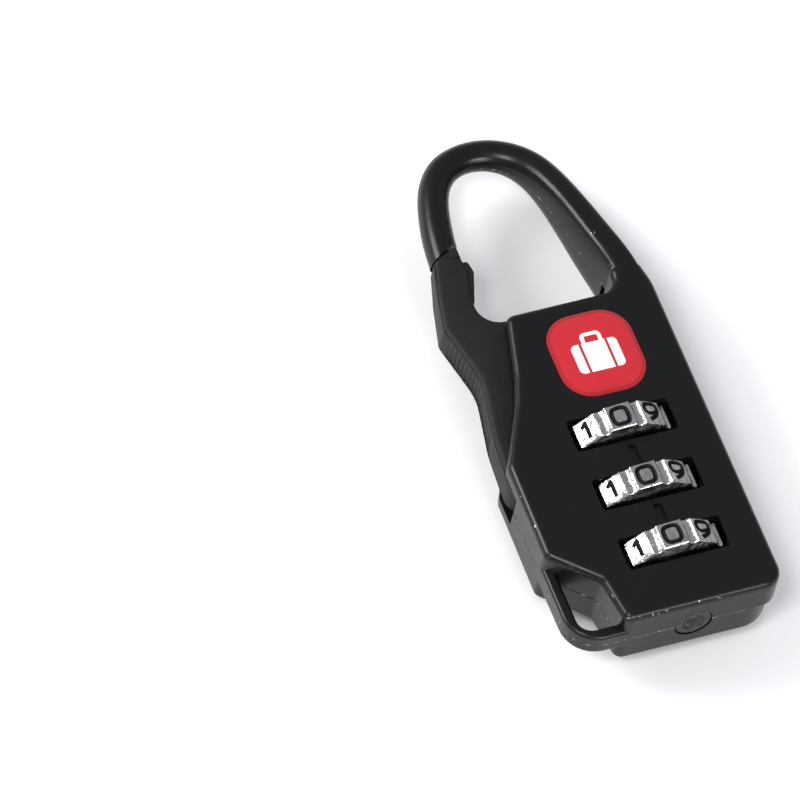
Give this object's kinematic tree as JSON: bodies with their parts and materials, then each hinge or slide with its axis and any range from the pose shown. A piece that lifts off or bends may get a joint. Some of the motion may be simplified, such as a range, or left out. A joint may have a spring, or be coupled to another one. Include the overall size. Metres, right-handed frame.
{
  "type": "luggage combination padlock",
  "caption": "Flat carabiner padlock for luggage: gloss black casing and hook, sprung gate lever, number wheels, lanyard loop and reset button.",
  "frame": {"origin": "under the middle of the lock, on the plane that the rear wheel flats rest on, with the lock on its back", "axes": "+Y along the lock towards the hook, +Z out of the front face, +X to the right seen from the front"},
  "size_m": [0.028, 0.0746, 0.015],
  "materials": {
    "casing_paint": "gloss black enamel on die-cast zinc, lightly worn at the corners",
    "lever_paint": "matt black, fine sand texture",
    "wheel_chrome": "bright chrome plate with black-filled digits",
    "inner_steel": "turned steel",
    "spring_steel": "hard-drawn spring wire",
    "sleeve_brass": "turned brass",
    "button_steel": "dark oxide finish",
    "badge_resin": "red domed resin"
  },
  "bodies": {
    "casing": {"front_casing": "casing_paint", "back_casing": "casing_paint", "casing_dowels": "inner_steel", "badge": "badge_resin", "gate_pivot_pin": "inner_steel", "click_spring": "spring_steel", "spindle_spring": "spring_steel", "sleeve_spring": "spring_steel"},
    "gate": {"gate_lever": "lever_paint", "gate_spring": "spring_steel"},
    "spindle": {"spindle": "inner_steel", "spindle_collar": "inner_steel"},
    "reset_button": {"reset_button": "button_steel"},
    "wheel_1": {"number_wheel_1": "wheel_chrome"},
    "sleeve_1": {"code_sleeve_1": "sleeve_brass", "sleeve_washer": "inner_steel"},
    "wheel_2": {"number_wheel_2": "wheel_chrome"},
    "sleeve_2": {"code_sleeve_2": "sleeve_brass"},
    "wheel_3": {"number_wheel_3": "wheel_chrome"},
    "sleeve_3": {"code_sleeve_3": "sleeve_brass"}
  },
  "joints": [
    {"name": "gate_hinge", "type": "hinge", "parent": "casing", "child": "gate", "pos_m": [-0.01082, -0.01305, 0.0075], "axis": [0, 0, -1], "range_deg": [0, 13.5], "stiffness_Nm_per_rad": 0.15, "springref_deg": -28.65},
    {"name": "spindle_slide", "type": "slide", "parent": "casing", "child": "spindle", "axis": [0, -1, 0], "range_m": [0, 0.00285], "deforming": ["spindle_spring"]},
    {"name": "reset_slide", "type": "slide", "parent": "casing", "child": "reset_button", "axis": [0, 1, 0], "range_m": [0, 0.0013], "stiffness_N_per_m": 800, "springref_m": -0.001, "deforming": ["sleeve_spring"]},
    {"name": "wheel_1_spin", "type": "hinge", "parent": "casing", "child": "wheel_1", "pos_m": [0.00228, -0.01035, 0.0075], "axis": [0, 1, 0], "continuous": true},
    {"name": "wheel_2_spin", "type": "hinge", "parent": "casing", "child": "wheel_2", "pos_m": [0.00228, -0.01935, 0.0075], "axis": [0, 1, 0], "continuous": true},
    {"name": "wheel_3_spin", "type": "hinge", "parent": "casing", "child": "wheel_3", "pos_m": [0.00228, -0.02835, 0.0075], "axis": [0, 1, 0], "continuous": true},
    {"name": "sleeve_1_slide", "type": "slide", "parent": "wheel_1", "child": "sleeve_1", "axis": [0, 1, 0], "range_m": [0, 0.0013]},
    {"name": "sleeve_2_slide", "type": "slide", "parent": "wheel_2", "child": "sleeve_2", "axis": [0, 1, 0], "range_m": [0, 0.0013]},
    {"name": "sleeve_3_slide", "type": "slide", "parent": "wheel_3", "child": "sleeve_3", "axis": [0, 1, 0], "range_m": [0, 0.0013]}
  ],
  "couplings": [
    {"joint": "spindle_slide", "follows": "gate_hinge", "m_per_rad": 0.01209},
    {"joint": "sleeve_1_slide", "follows": "reset_slide", "ratio": 1},
    {"joint": "sleeve_2_slide", "follows": "reset_slide", "ratio": 1},
    {"joint": "sleeve_3_slide", "follows": "reset_slide", "ratio": 1}
  ]
}
